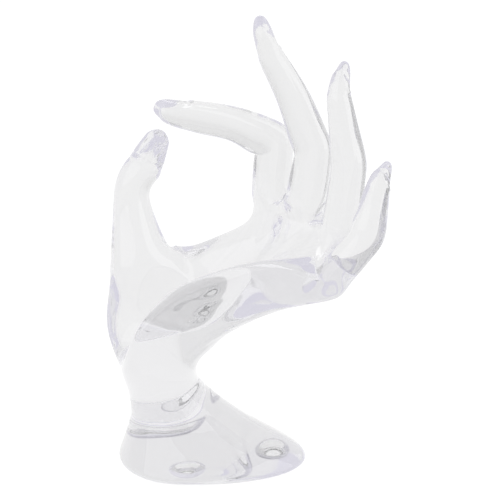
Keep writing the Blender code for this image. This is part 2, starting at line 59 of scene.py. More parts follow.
# Each finger: its knuckle from the middle knuckle (ulnar, distal, palmar), then three phalanges
# as (length, curl from distal to palmar, spread to ulnar), then half widths and half depths at
# knuckle, mid first phalanx, first joint, mid second, second joint, nail fold, flesh end.
FINGERS = {
    "index": {
        "knuckle": (-16.6, -8.0, 1.9),
        "bones": ((33.8, 62, 0), (28.0, 134, -2), (21.0, 142, -1)),
        "half_width": (6.9, 6.5, 6.9, 6.2, 5.6, 5.0, 3.2),
        "half_depth": (7.6, 7.5, 7.8, 6.4, 5.7, 5.0, 4.3),
        "fold": 1.0,
        "bow": 1.3,
        "pulp": 1.6,
        "web": 12.0,
        "nail": 14.0,
        "free_edge": 4.0,
        "shoulder": 0.0,
    },
    "middle": {
        "knuckle": (0.0, 0.0, 0.0),
        "bones": ((34.0, 58, 0), (36.7, 90.5, -9), (17.3, 83.5, -8)),
        "half_width": (7.1, 6.7, 6.9, 6.1, 5.3, 4.7, 3.4),
        "half_depth": (7.6, 7.7, 7.1, 6.2, 5.0, 4.4, 3.8),
        "fold": 0.8,
        "bow": 1.4,
        "pulp": 0.3,
        "web": 8.0,
        "nail": 13.5,
        "free_edge": 5.0,
        "shoulder": 0.0,
    },
    "ring": {
        "knuckle": (15.1, 9.0, -4.9),
        "bones": ((32.9, 61.3, 4), (25.6, 74, -8), (13.6, 57, -6)),
        "half_width": (7.0, 6.8, 6.6, 5.6, 4.9, 4.3, 3.2),
        "half_depth": (7.3, 6.9, 6.7, 5.4, 4.6, 4.2, 3.7),
        "fold": 0.0,
        "bow": 0.0,
        "pulp": 0.3,
        "web": 4.0,
        "nail": 11.5,
        "free_edge": 5.0,
        "shoulder": 0.5,
    },
    "little": {
        "knuckle": (29.6, -2.8, -9.0),
        "bones": ((24.8, 30.4, 11), (14.8, 53.7, -3), (14.1, 49, -4)),
        "half_width": (6.9, 6.7, 6.5, 5.6, 4.5, 3.9, 2.9),
        "half_depth": (7.2, 6.4, 6.4, 5.6, 4.8, 4.1, 3.4),
        "fold": 0.5,
        "bow": 0.0,
        "pulp": 1.0,
        "web": 3.0,
        "nail": 10.0,
        "free_edge": 4.2,
        "shoulder": 0.4,
    },
}

# The thumb's stations: centre, half width, half depth and lean of its axis.
THUMB = (
    ((-27.2, 12.4, 71.5), 12.0, 11.4, (-0.38, 0.22, 0.90)),
    ((-28.2, 14.8, 80.5), 9.8, 9.4, (-0.14, 0.22, 0.97)),
    ((-29.4, 16.6, 88.5), 7.9, 7.9, (-0.04, 0.12, 0.99)),
    ((-30.3, 17.4, 95.5), 6.7, 7.2, (0.0, 0.05, 1.0)),
    ((-29.5, 17.4, 101.5), 6.9, 7.1, (0.26, -0.05, 0.96)),
    ((-25.4, 16.8, 107.2), 7.1, 6.7, (0.46, -0.12, 0.88)),
)
THUMB_TIP = (-18.4, 14.2, 122.2)
THUMB_WEB_FILL = (0.8, 0.0, 1.6)
THUMB_WEB_DRAW = (2.0, 6.0, 6.0, 2.0)
THUMB_NAIL = 14.5
THUMB_FREE_EDGE = 3.6
THUMB_NAIL_FACES = (0.1, -0.95, 0.3)
THUMB_FOLD_SIZE = (6.5, 6.0)
THUMB_END_SIZE = (4.9, 2.3)

# How much of its end size a tip still has at three places past that end, across it and through
# it, where the flesh stops and the nail goes on.
# Clear tips turn lilac where they narrow fast, because the light is then led down the finger.
FULL = (0.92, 0.72, 0.4)
FAST = (0.78, 0.44, 0.1)
FINGER_NARROWS = (FAST, FULL)
THUMB_NARROWS = (FULL, FAST)

# Where a tip's rings stand: before and after the nail's fold and the flesh's end, then as shares
# of the free edge. The nail's side is a little flatter at the fold and at the end, the palm's side
# falls with the shoulder, and the point stands a little out of the last ring.
FOLD_STEPS = (0.9, -0.4)
END_STEPS = (0.6, -0.5)
POINT_SHARES = (0.5, 0.12)
FOLD_FLAT = 0.2
END_FLAT = 0.15
POINT_FLAT = (0.95, 1.0, 1.0)
SHOULDER_FALL = (1.0, 1.0, 0.5)
FINGER_POINT = 0.5
THUMB_POINT = 0.4

# How far before and after a joint its rings stand, and the first ring after the web. The middle
# rings of the first two phalanges stand at these shares of their lengths.
JOINT_REACH = 4.6
WEB_REACH = 4.5
MIDDLE_OF_FIRST = 0.66
MIDDLE_OF_SECOND = 0.57

# Wrist and palm rows: centre, tilt back from level, half width, palmar half depth, dorsal half
# depth and what the thumb's side adds to it, squareness of the thumb's and the little finger's
# side, the bulge of the thumb's side, then (height, place across) of the little finger's side
# and (depth, place across) of the hollow between them.
PALM = (
    ((-16.8, 0.0, 28.5), 0, 17.6, 14.9, (11.6, 0.0), 2.0, 2.0, 0.0, (0.0, 0.62), (0.0, 0.0)),
    ((-19.3, 0.0, 36.5), 4, 18.0, 18.8, (12.8, 0.0), 2.0, 2.2, 4.0, (-1.0, 0.62), (2.0, 0.1)),
    ((-19.7, 0.5, 44.5), 14, 19.0, 18.6, (16.0, 2.0), 2.1, 2.6, 7.4, (-1.0, 0.62), (11.0, 0.2)),
    ((-16.3, 1.0, 51.0), 27, 20.0, 18.2, (16.3, 4.5), 2.2, 3.0, 8.2, (0.0, 0.7), (22.0, 0.15)),
    ((-10.8, 2.0, 56.4), 40, 21.5, 17.6, (14.1, 7.0), 2.3, 3.2, 6.5, (2.0, 0.75), (26.0, 0.12)),
    ((-4.6, 3.0, 60.6), 51, 23.5, 15.8, (12.0, 8.5), 2.4, 3.4, 6.5, (5.0, 0.78), (25.0, 0.1)),
    ((3.5, 4.0, 64.6), 60, 26.0, 13.2, (10.6, 6.5), 2.5, 3.6, 2.6, (6.5, 0.78), (21.0, 0.1)),
    ((12.5, 5.0, 68.6), 65, 28.0, 11.3, (9.1, 4.0), 2.6, 3.4, 2.8, (7.5, 0.8), (13.0, 0.1)),
    ((22.0, 6.0, 72.9), 66, 29.5, 10.0, (11.5, 1.0), 2.7, 3.2, 2.4, (4.5, 0.82), (6.0, 0.1)),
)
THUMB_FIRST_ROW = 2

# Where the bulge of the thumb's side stands across the palm, and how far bulges and hollow reach.
THUMB_SIDE_PLACE = -0.62
BULGE_REACH = 0.3
HOLLOW_REACH = 0.34

# The knuckle row's palmar and dorsal height as shares of each finger's depth: over each knuckle,
# after each finger, and before the first. The palm falls away towards the little finger.
OVER_KNUCKLE = ((1.05, 1.13), (1.05, 1.13), (1.05, 1.13), (1.0, 0.88))
AFTER_KNUCKLE = ((1.0, 0.92), (0.95, 0.92), (0.85, 0.92), (0.7, 0.6))
BEFORE_KNUCKLES = (0.72, 0.75)

# The knuckle row is this much deeper than the fingers and leans this much with them. Its outer
# points stand beside the outer knuckles and at the palm's edges, as shares of a half width.
KNUCKLE_DEEPER = 1.0
KNUCKLE_LEAN = 0.25
KNUCKLE_SIDE = 0.85
PALM_EDGE = 1.2

# The foot's rows from the ground up: height, left end, right end, half depth, place of the
# greatest depth, and how much narrower the right end is.
FOOT_YAW = -12.0
FOOT = (
    (0.0, -33.6, 34.0, 30.6, -8.0, 0.12),
    (1.1, -35.0, 35.4, 32.0, -8.0, 0.12),
    (3.2, -34.9, 35.2, 31.6, -8.0, 0.12),
    (6.8, -33.6, 30.8, 28.8, -9.0, 0.16),
    (11.4, -31.9, 22.4, 25.2, -11.0, 0.2),
    (16.0, -30.8, 12.4, 22.2, -12.5, 0.2),
)
CUT_ROW = (20.0, -30.3, 3.4, 19.6, -13.5, 0.15)
CUT_LEAN = 0.12
UNDERSIDE_SHARE = 0.5
UNDERSIDE_SHIFT = 4.0
GROUND_CREASE = 0.6

# The bumpers stand this high with their glue, and reach as far as the bond into the foot. Their
# flat faces, domes and rims are shares of the whole radius and height.
FIT = 0.3
BUMPER_RADIUS = 6.35
BUMPER_HEIGHT = 1.9
LIFT = BUMPER_HEIGHT + FIT
BOND = 0.17
BUMPER_INNER = 0.3
BUMPER_FLAT = 0.58
BUMPER_DOME = 0.75
BUMPER_RIM = ((1.0, 0.98, 0.5), (0.9, 1.0, 1.0))
BUMPER_PLACES = {
    "bumper_front": (-9.0, -18.0),
    "bumper_back": (-15.0, 17.5),
    "bumper_tip": (20.0, -5.0),
}

# Points round each row of foot and palm, the skin's subdivision and a bumper's sides.
COLUMNS = 20
SKIN_LEVEL = 3
BUMPER_SIDES = 96

# Where a palm row's points stand across it, from the thumb's side to the little finger's.
ROUND_SPACING = -np.cos(np.pi * np.arange(1, 10) / 10)
THUMB_SPACING = np.array([-0.97, -0.8, -0.5, -0.14, 0.12, 0.36, 0.6, 0.8, 0.95])
FLAT_SPACING = np.array([-0.95, -0.76, -0.49, -0.2, 0.05, 0.3, 0.53, 0.77, 0.95])
SPACINGS = (ROUND_SPACING,) * 2 + (THUMB_SPACING,) * 4 + (FLAT_SPACING,) * 3

# Where a ring's points stand round it, from the palm's side to the little finger's.
FINGER_ANGLES = np.radians([-45, 0, 45, 90, 135, 180, 225, 270])
THUMB_ANGLES = np.radians(np.arange(-45, 315, 30))

# The camera: height of its view above level, distance, and millimetres of the object to a pixel
# of the 500-pixel picture at that distance. The point under the wrist comes out at its own pixel.
VIEW_UP = math.radians(17.0)
DISTANCE = 900.0
PIXEL = 0.3665
PICTURE = 500
WRIST_PIXEL = (212, 452)
WRIST_LEVEL = 5.2
WRIST_ASIDE = (PICTURE / 2 - WRIST_PIXEL[0]) * PIXEL
WRIST_BELOW = (WRIST_PIXEL[1] - PICTURE / 2) * PIXEL
LOOK_AT = (WRIST_ASIDE, 0.0, WRIST_BELOW / math.cos(VIEW_UP) + WRIST_LEVEL)


# Shapes


def limit_scale(count):
    """How much wider a ring of the cage is than the rounded skin that it becomes."""
    return 6 / (4 + 2 * math.cos(2 * math.pi / count))


def unit(vector):
    """The vector, or each row of an array of vectors, at length one."""
    vector = np.asarray(vector, float)
    return vector / np.linalg.norm(vector, axis=-1, keepdims=True)


def lifted(point):
    """A point of the hand's tables, raised by the bumpers' height."""
    return np.asarray(point, float) + (0.0, 0.0, LIFT)


def tilted_axes(yaw, back, roll):
    """Distal, ulnar and palmar directions of a section that is turned, tilted back and rolled."""
    yaw, back, roll = np.radians([yaw, back, roll])
    level = np.array([math.cos(yaw), math.sin(yaw), 0])
    distal = math.sin(back) * level + math.cos(back) * np.array([0, 0, 1])
    ulnar = np.array([math.sin(yaw), -math.cos(yaw), 0])
    palmar = np.cross(ulnar, distal)
    turned_ulnar = ulnar * math.cos(roll) - palmar * math.sin(roll)
    return distal, turned_ulnar, palmar * math.cos(roll) + ulnar * math.sin(roll)


DISTAL, ULNAR, PALMAR = tilted_axes(HAND_YAW, WRIST_BACK, HAND_ROLL)


class Skin:
    """A cage of quads, gathered ring by ring as arrays of points and of faces."""

    def __init__(self):
        self.points = np.empty((0, 3))
        self.faces = []

    def ring(self, points):
        """Adds a ring of points and returns their numbers."""
        first = len(self.points)
        self.points = np.vstack([self.points, points])
        return np.arange(first, len(self.points))

    def band(self, lower, upper, gap=0):
        """Joins two rings with quads, leaving the first few open for a branch."""
        quads = np.stack([lower, np.roll(lower, -1), np.roll(upper, -1), upper], 1)
        self.faces.append(quads[gap:])

    def pole(self, ring, lift=(0.0, 0.0, 0.0)):
        """Closes an even ring with quads round one point in its middle."""
        centre = self.ring(self.points[ring].mean(axis=0)[None] + lift)
        even, odd = ring[0::2], ring[1::2]
        middle = np.repeat(centre, len(even))
        self.faces.append(np.stack([even, odd, np.roll(even, -1), middle], 1))

    def grid_cap(self, ring, lift):
        """Closes a ring of twelve with eight quads round one square."""
        corners = self.points[ring[::3]]
        beside = np.roll(corners, 1, axis=0) + np.roll(corners, -1, axis=0)
        square = 0.5 * corners + 0.2 * beside + 0.1 * np.roll(corners, 2, axis=0) + lift
        inner = self.ring(square)
        at, after = ring[0::3], np.roll(inner, -1)
        self.faces.append(np.stack([at, ring[1::3], inner, np.roll(ring, 1)[0::3]], 1))
        self.faces.append(np.stack([ring[1::3], ring[2::3], after, inner], 1))
        self.faces.append(inner[None])


def oval(centre, side, palm, half_side, half_palm, half_back, angles):
    """Points round an oval, centre + w sin(a) side + d cos(a) palm, with its own depth d behind."""
    turn = np.asarray(angles)[:, None]
    depth = np.where(np.cos(turn) > 0, half_palm, half_back)
    rim = half_side * np.sin(turn) * side + depth * np.cos(turn) * palm
    return centre + limit_scale(len(angles)) * rim


def bone_direction(curl, spread):
    """A phalanx's direction from its curl and spread."""
    curl, spread = math.radians(curl), math.radians(spread)
    flat = math.cos(curl) * DISTAL + math.sin(curl) * PALMAR
    return math.cos(spread) * flat + math.sin(spread) * ULNAR


def finger_axes(direction):
    """The side and palm directions of a section across this direction."""
    side = unit(ULNAR - np.dot(ULNAR, direction) * direction)
    return side, np.cross(side, direction)


def knuckle_point(finger):
    """A finger's knuckle."""
    ulnar, distal, palmar = finger["knuckle"]
    return lifted(KNUCKLE) + ulnar * ULNAR + distal * DISTAL + palmar * PALMAR


def joints_of(finger):
    """The knuckle, both joints and the tip, with the three directions between them."""
    directions = [bone_direction(curl, spread) for _, curl, spread in finger["bones"]]
    steps = [bone[0] * along for bone, along in zip(finger["bones"], directions)]
    return np.cumsum([knuckle_point(finger), *steps], axis=0), directions


def finger_sections(finger):
    """The finger's rings after its web: centre, direction, half width, palm and back depth."""
    points, (first, second, third) = joints_of(finger)
    length = [bone[0] for bone in finger["bones"]]
    wide, deep, fold = finger["half_width"], finger["half_depth"], finger["fold"]
    bend_one, bend_two = unit(first + second), unit(second + third)
    bow = -finger["bow"] * finger_axes(second)[1]
    knee = (points[1] - JOINT_REACH * first, points[1] + JOINT_REACH * second)
    middle_one = points[0] + MIDDLE_OF_FIRST * length[0] * first
    middle_two = points[1] + MIDDLE_OF_SECOND * length[1] * second + bow
    return [
        (points[0] + (finger["web"] + WEB_REACH) * first, first, wide[1], deep[1], deep[1]),
        (middle_one, first, wide[1], deep[1], deep[1]),
        (knee[0], unit(3 * first + second), wide[2], deep[2], deep[2]),
        (points[1], bend_one, wide[2], deep[2] + 0.5 * fold, deep[2]),
        (knee[1], unit(first + 3 * second), wide[2], deep[2] + fold, deep[2]),
        (middle_two, second, wide[3], deep[3], deep[3]),
        (points[2], bend_two, wide[4], deep[4] + finger["pulp"], deep[4]),
    ]


def tip_sections(tip, direction, shape, sizes, narrows):
    """Rings from the nail's fold to its point, where the flesh narrows to a blunt end."""
    nail, free_edge, shoulder, pulp = shape
    (wide, deep), (end_wide, end_deep) = sizes
    middle_wide, middle_deep = 0.5 * (wide + end_wide), 0.5 * (deep + end_deep)
    rows = [
        (nail + FOLD_STEPS[0], wide, deep + pulp, deep),
        (nail + FOLD_STEPS[1], wide, deep + pulp, deep - FOLD_FLAT),
        (0.5 * (nail + free_edge), middle_wide, middle_deep + pulp, middle_deep - FOLD_FLAT),
        (free_edge + END_STEPS[0], end_wide, end_deep + 0.5 * pulp, end_deep - END_FLAT),
    ]
    backs = (free_edge + END_STEPS[1], *(share * free_edge for share in POINT_SHARES))
    for back, across, through, fall, flat in zip(backs, *narrows, SHOULDER_FALL, POINT_FLAT):
        depth = through * end_deep
        rows.append((back, across * end_wide, depth - fall * shoulder, flat * depth))
    return [(tip - back * direction, direction, w, p, b) for back, w, p, b in rows]


def bump(across, place, reach):
    """A smooth rise exp(-((u - u0) / w)^2) of height one at a place."""
    return np.exp(-(((across - place) / reach) ** 2))


def palm_row(row, across):
    """Twenty points round a superellipse (1 - |u|^n)^(1/n), with two bulges and a hollow."""
    centre, tilt, half, palm, (back, fuller), *squares, thumb_side, little_side, hollow = row
    thumb_square, square = squares
    share = tilt / WRIST_BACK
    _, ulnar, palmar = tilted_axes(HAND_YAW * share, tilt, HAND_ROLL * share)
    power = np.where(across < 0, thumb_square, square)
    height = (1 - np.abs(across) ** power) ** (1 / power)
    behind = (1 - np.abs(across) ** thumb_square) ** (1 / thumb_square)
    down = (back + fuller * 0.5 * (1 - across)) * behind
    rise = thumb_side * bump(across, THUMB_SIDE_PLACE, BULGE_REACH)
    rise = rise + little_side[0] * bump(across, little_side[1], BULGE_REACH)
    up = palm * height + rise - hollow[0] * bump(across, hollow[1], HOLLOW_REACH)
    along = np.concatenate([across, [1], across[::-1], [-1]])
    out = np.concatenate([up, [0], -down[::-1], [0]])
    scale = limit_scale(COLUMNS)
    return lifted(centre) + scale * (half * np.outer(along, ulnar) + np.outer(out, palmar))


def foot_row(row, lean=0.0):
    """Twenty points round a teardrop: an oval with its own reach to each end, tapered."""
    height, left, right, depth, widest, taper = row
    scale, turn = limit_scale(COLUMNS), math.radians(FOOT_YAW)
    angle = math.pi * (1 - 2 * np.arange(1, COLUMNS + 1) / COLUMNS)
    along, across = -np.sin(angle), np.cos(angle)
    x = scale * along * np.where(along > 0, right - widest, widest - left)
    y = -scale * across * depth * (1 - taper * np.maximum(along, 0))
    turned_x = widest + x * math.cos(turn) - y * math.sin(turn)
    turned_y = x * math.sin(turn) + y * math.cos(turn)
    return np.stack([turned_x, turned_y, height + lean * x + LIFT], 1)


def knuckle_row():
    """The last palm row, through the four knuckles."""
    fingers = list(FINGERS.values())
    roots = [knuckle_point(f) for f in fingers]
    palms, backs = [], []
    for i, finger in enumerate(fingers):
        half, deep = finger["half_width"][0], finger["half_depth"][0] + KNUCKLE_DEEPER
        first = bone_direction(*finger["bones"][0][1:])
        out = unit(PALMAR + KNUCKLE_LEAN * finger_axes(first)[1])
        rim = KNUCKLE_SIDE * half * ULNAR
        if i == 0:
            palms.append(roots[0] - rim + BEFORE_KNUCKLES[0] * deep * out)
            backs.append(roots[0] - rim - BEFORE_KNUCKLES[1] * deep * out)
        palms.append(roots[i] + OVER_KNUCKLE[i][0] * deep * out)
        backs.append(roots[i] - OVER_KNUCKLE[i][1] * deep * out)
        after = 0.5 * (roots[i] + roots[i + 1]) if i < 3 else roots[3] + rim
        palms.append(after + AFTER_KNUCKLE[i][0] * deep * out)
        backs.append(after - AFTER_KNUCKLE[i][1] * deep * out)
    little = roots[3] + fingers[3]["half_width"][0] * PALM_EDGE * ULNAR
    index = roots[0] - fingers[0]["half_width"][0] * PALM_EDGE * ULNAR
    return np.array(palms + [little] + backs[::-1] + [index])


def web_row():
    """The row that the fingers split from, and the three points between them."""
    rings = []
    for finger in FINGERS.values():
        first = bone_direction(*finger["bones"][0][1:])
        side, palm = finger_axes(first)
        centre = knuckle_point(finger) + finger["web"] * first
        half, deep = finger["half_width"][0], finger["half_depth"][0]
        rings.append(oval(centre, side, palm, half, deep, deep, FINGER_ANGLES))
    rings = np.array(rings)
    palms, backs = np.empty((9, 3)), np.empty((9, 3))
    palms[0:8:2], palms[1:9:2], palms[8] = rings[:, 0], rings[:, 1], rings[3, 2]
    backs[0:8:2], backs[1:9:2], backs[8] = rings[:, 6], rings[:, 5], rings[3, 4]
    palms[2:8:2] = 0.5 * (rings[:-1, 2] + rings[1:, 0])
    backs[2:8:2] = 0.5 * (rings[:-1, 4] + rings[1:, 6])
    row = np.concatenate([palms, rings[3, 3][None], backs[::-1], rings[0, 7][None]])
    return row, 0.5 * (rings[:-1, 3] + rings[1:, 7])


def grow_finger(skin, loop, finger):
    """The finger's rings from its root loop to the nail's point."""
    points, directions = joints_of(finger)
    wide, deep = finger["half_width"], finger["half_depth"]
    shape = [finger[key] for key in ("nail", "free_edge", "shoulder", "pulp")]
    sizes = (wide[5], deep[5]), (wide[6], deep[6])
    tip = tip_sections(points[3], directions[2], shape, sizes, FINGER_NARROWS)
    for centre, direction, half, palm_depth, back_depth in finger_sections(finger) + tip:
        side, palm = finger_axes(direction)
        points_here = oval(centre, side, palm, half, palm_depth, back_depth, FINGER_ANGLES)
        ring = skin.ring(points_here)
        skin.band(loop, ring)
        loop = ring
    skin.pole(loop, FINGER_POINT * directions[2])


def thumb_sections():
    """The thumb's rings, the last of them round its nail."""
    rows = [(lifted(c), unit(lean), wide, deep, deep) for c, wide, deep, lean in THUMB]
    tip = lifted(THUMB_TIP)
    towards = unit(tip - rows[-1][0])
    shape = (THUMB_NAIL, THUMB_FREE_EDGE, 0.0, 0.0)
    sizes = THUMB_FOLD_SIZE, THUMB_END_SIZE
    return rows + tip_sections(tip, towards, shape, sizes, THUMB_NARROWS), towards


def grow_thumb(skin, loop):
    """The thumb's rings, with its nail turned to the little finger's side."""
    rows, towards = thumb_sections()
    facing = np.array(THUMB_NAIL_FACES)
    for number, (centre, direction, wide, palm_depth, back_depth) in enumerate(rows):
        palm = unit(np.dot(facing, direction) * direction - facing)
        side = np.cross(direction, palm)
        points = oval(centre, side, palm, wide, palm_depth, back_depth, THUMB_ANGLES)
        if number == 0:
            fill = np.outer(np.maximum(-np.sin(THUMB_ANGLES), 0), THUMB_WEB_FILL)
            points = points + 0.5 * fill
            halfway = skin.ring(0.5 * (skin.points[loop] + points) + fill)
            skin.band(loop, halfway)
            loop = halfway
        ring = skin.ring(points)
        skin.band(loop, ring)
        loop = ring
    skin.grid_cap(loop, THUMB_POINT * towards)


def foot_cage(skin):
    """The foot from its flat underside up to the row where the wrist is set in."""
    rows = [skin.ring(foot_row(row)) for row in FOOT]
    inner = foot_row(FOOT[0]) * (UNDERSIDE_SHARE, UNDERSIDE_SHARE, 1.0)
    under = skin.ring(inner - (UNDERSIDE_SHIFT, 0.0, 0.0))
    skin.pole(under[::-1])
    skin.band(under, rows[0])
    rows.append(skin.ring(foot_row(CUT_ROW, CUT_LEAN)))
    for lower, upper in zip(rows, rows[1:]):
        skin.band(lower, upper)
    return rows[0], rows[-1]


def hand_cage(skin, wrist):
    """Wrist, palm, fingers and thumb on top of the foot's last row."""
    rows = [wrist]
    rows += [skin.ring(palm_row(row, spacing)) for row, spacing in zip(PALM, SPACINGS)]
    root = THUMB_FIRST_ROW + 1
    skin.points[rows[root + 3][:4]] += np.outer(THUMB_WEB_DRAW, DISTAL)
    rows.append(skin.ring(knuckle_row()))
    last, splits = web_row()
    rows.append(skin.ring(last))
    for number, (lower, upper) in enumerate(zip(rows, rows[1:])):
        skin.band(lower, upper, gap=3 if root <= number < root + 3 else 0)
    top = rows[-1]
    webs = np.concatenate([[top[19]], skin.ring(splits), [top[9]]])
    for i, finger in enumerate(FINGERS.values()):
        palm, back = top[2 * i : 2 * i + 3], top[16 - 2 * i : 19 - 2 * i]
        grow_finger(skin, np.concatenate([palm, [webs[i + 1]], back, [webs[i]]]), finger)
    block = np.array([rows[root + step][:4] for step in range(4)])
    loop = [block[::-1, 0], block[0, 1:3], block[:, 3], block[3, 2:0:-1]]
    grow_thumb(skin, np.concatenate(loop))


def rounded(name, points, faces, creased):
    """The cage after subdivision, as a mesh of quads in millimetres, with one ring kept crisp."""
    mesh = bpy.data.meshes.new(name)
    mesh.from_pydata(points, [], faces.tolist())
    ends = np.empty(len(mesh.edges) * 2, int)
    mesh.edges.foreach_get("vertices", ends)
    inside = np.isin(ends.reshape(-1, 2), creased).all(axis=1)
    sharp = mesh.attributes.new("crease_edge", "FLOAT", "EDGE")
    sharp.data.foreach_set("value", GROUND_CREASE * inside)
    cage = bpy.data.objects.new(name, mesh)
    bpy.context.scene.collection.objects.link(cage)
    smooth = cage.modifiers.new("rounding", "SUBSURF")
    smooth.levels = smooth.render_levels = SKIN_LEVEL
    graph = bpy.context.evaluated_depsgraph_get()
    final = bpy.data.meshes.new_from_object(cage.evaluated_get(graph))
    bpy.data.objects.remove(cage)
    return final


def read_mesh(mesh):
    """A mesh's points and normals as arrays."""
    points, normals = np.empty((2, len(mesh.vertices) * 3), np.float32)
    mesh.vertices.foreach_get("co", points)
    mesh.vertex_normals.foreach_get("vector", normals)
    return points.reshape(-1, 3).astype(float), normals.reshape(-1, 3).astype(float)


def ramp(value, low, high):
    """A smooth step 3 s^2 - 2 s^3 from nought at low to one at high."""
    share = np.clip((value - low) / (high - low), 0, 1)
    return share * share * (3 - 2 * share)


def between(value, rise, fall):
    """One between the rise and the fall, and nought outside, with smooth steps at both."""
    return ramp(value, *rise) * (1 - ramp(value, *fall))


# How far the whole skin is drawn in, so that it stays inside the frame's solids.
DRAWN_IN = 0.12

# The nails: how far each plate lies under the skin round it, the lip that the skin makes and
# where it stands, then the plate's width, widest place, squareness and edge as shares, its grooves,
# and where it fades round the finger, past its ends and towards its free edge.
NAIL_SINK = 0.38
NAIL_LIP = 0.16
NAIL_LIP_PLACE = 1.1
NAIL_LIP_REACH = 0.09
NAIL_REACH = 0.86
NAIL_WIDEST = 0.55
NAIL_SQUARE = 2.6
NAIL_EDGE = (0.84, 1.0)
GROOVE_PITCH = 2.2
GROOVE_DEPTH = 0.06
GROOVE_REACH = 0.8
NAIL_SIDE = (-0.8, 0.8)
NAIL_TIP = (-1.0, 0.5)
NAIL_ROOT = (2.0, 4.0)
NAIL_FREE = (0.2, 1.2)

# The crease where the hand is bonded into the foot.
CREASE_DEPTH = 0.12
CREASE_REACH = 2.0

# The skin lines of the palm: how high their two ripples are, their pitches across the palm,
# where they start, how they bend and slant, and where they fade through the palm and along it.
LINE_HEIGHTS = (0.042, 0.07)
LINE_PITCHES = (3.7, 6.3)
LINE_START = (-16.0, 1.0, 46.0)
LINE_BEND = 5.0
LINE_BEND_PLACE = 0.4
LINE_SLANT = 3.0
LINE_DEPTHS = ((-8.0, -3.0), (6.0, 12.0))
LINE_ENDS = ((-0.25, 0.0), (1.0, 1.2))


def nail_offset(points, tip, direction, out, length, half, free_edge):
    """Offset of a nail plate, where b is the way back from the tip and c the way across.

    The plate's rim is |c / half|^n + |(b - m) / (length - m)|^n = 1 behind its widest place m,
    and straight in front of it. Inside, the surface sinks by NAIL_SINK, which fades out towards
    the free edge. Outside, the skin stands up in a narrow lip.
    """
    side = np.cross(direction, out)
    place = points - tip
    back, across, up = -place @ direction, place @ side, place @ out
    widest = NAIL_WIDEST * length
    round_end = np.maximum(back - widest, 0) / (length - widest)
    rim = (np.abs(across / half) ** NAIL_SQUARE + round_end**NAIL_SQUARE) ** (1 / NAIL_SQUARE)
    root = [length + past for past in NAIL_ROOT]
    near = ramp(up, *NAIL_SIDE) * between(back, NAIL_TIP, root)
    front = ramp(back / free_edge, *NAIL_FREE)
    sink = NAIL_SINK * (1 - ramp(rim, *NAIL_EDGE)) * front
    lip = NAIL_LIP * bump(rim, NAIL_LIP_PLACE, NAIL_LIP_REACH) * front
    grooves = GROOVE_DEPTH * np.cos(2 * np.pi * across / GROOVE_PITCH) * (rim < GROOVE_REACH)
    return near * (lip - sink + grooves * front)


def palm_lines(points):
    """Ripples a sin(2 pi s / p) along the palm's hollow, where s bends slowly with the way up."""
    wrist = lifted(LINE_START)
    way = lifted(KNUCKLE) - wrist
    along = (points - wrist) @ way / (way @ way)
    aside = points - wrist - along[:, None] * way
    across, up = aside @ ULNAR + LINE_BEND * (along - LINE_BEND_PLACE) ** 2, aside @ PALMAR
    turns = [2 * np.pi * across / pitch + LINE_SLANT * along for pitch in LINE_PITCHES]
    ripple = sum(height * np.sin(turn) for height, turn in zip(LINE_HEIGHTS, turns))
    return ripple * between(up, *LINE_DEPTHS) * between(along, *LINE_ENDS)


def skin_offsets(points):
    """All that is pressed into the rounded skin, as one offset along its normals."""
    offset = np.zeros(len(points))
    for finger in FINGERS.values():
        joints, directions = joints_of(finger)
        palm = finger_axes(directions[2])[1]
        half = NAIL_REACH * finger["half_width"][5]
        size = (finger["nail"], half, finger["free_edge"])
        offset += nail_offset(points, joints[3], directions[2], -palm, *size)
    towards = thumb_sections()[1]
    facing = np.array(THUMB_NAIL_FACES)
    out = unit(facing - np.dot(facing, towards) * towards)
    size = (THUMB_NAIL, NAIL_REACH * THUMB_FOLD_SIZE[0], THUMB_FREE_EDGE)
    offset += nail_offset(points, lifted(THUMB_TIP), towards, out, *size)
    seam = points[:, 2] - LIFT - CUT_ROW[0] - CUT_LEAN * (points[:, 0] - CUT_ROW[4])
    return offset + palm_lines(points) - CREASE_DEPTH * bump(seam, 0.0, CREASE_REACH)


def finished(name, mesh, points, material):
    """The mesh at these points in metres from the origin, as a smooth object at the origin."""
    points = (points - (*MIDDLE, 0.0)) * MM
    mesh.vertices.foreach_set("co", points.astype(np.float32).ravel())
    mesh.materials.clear()
    mesh.materials.append(material)
    mesh.shade_smooth()
    mesh.update()
    thing = bpy.data.objects.new(name, mesh)
    bpy.context.scene.collection.objects.link(thing)
    return thing


def make_body(material):
    """The clear hand and foot."""
    skin = Skin()
    ground, wrist = foot_cage(skin)
    hand_cage(skin, wrist)
    mesh = rounded("clear_body", skin.points, np.concatenate(skin.faces), ground)
    points, normals = read_mesh(mesh)
    points += (skin_offsets(points) - DRAWN_IN)[:, None] * normals
    return finished("clear_body", mesh, points, material)


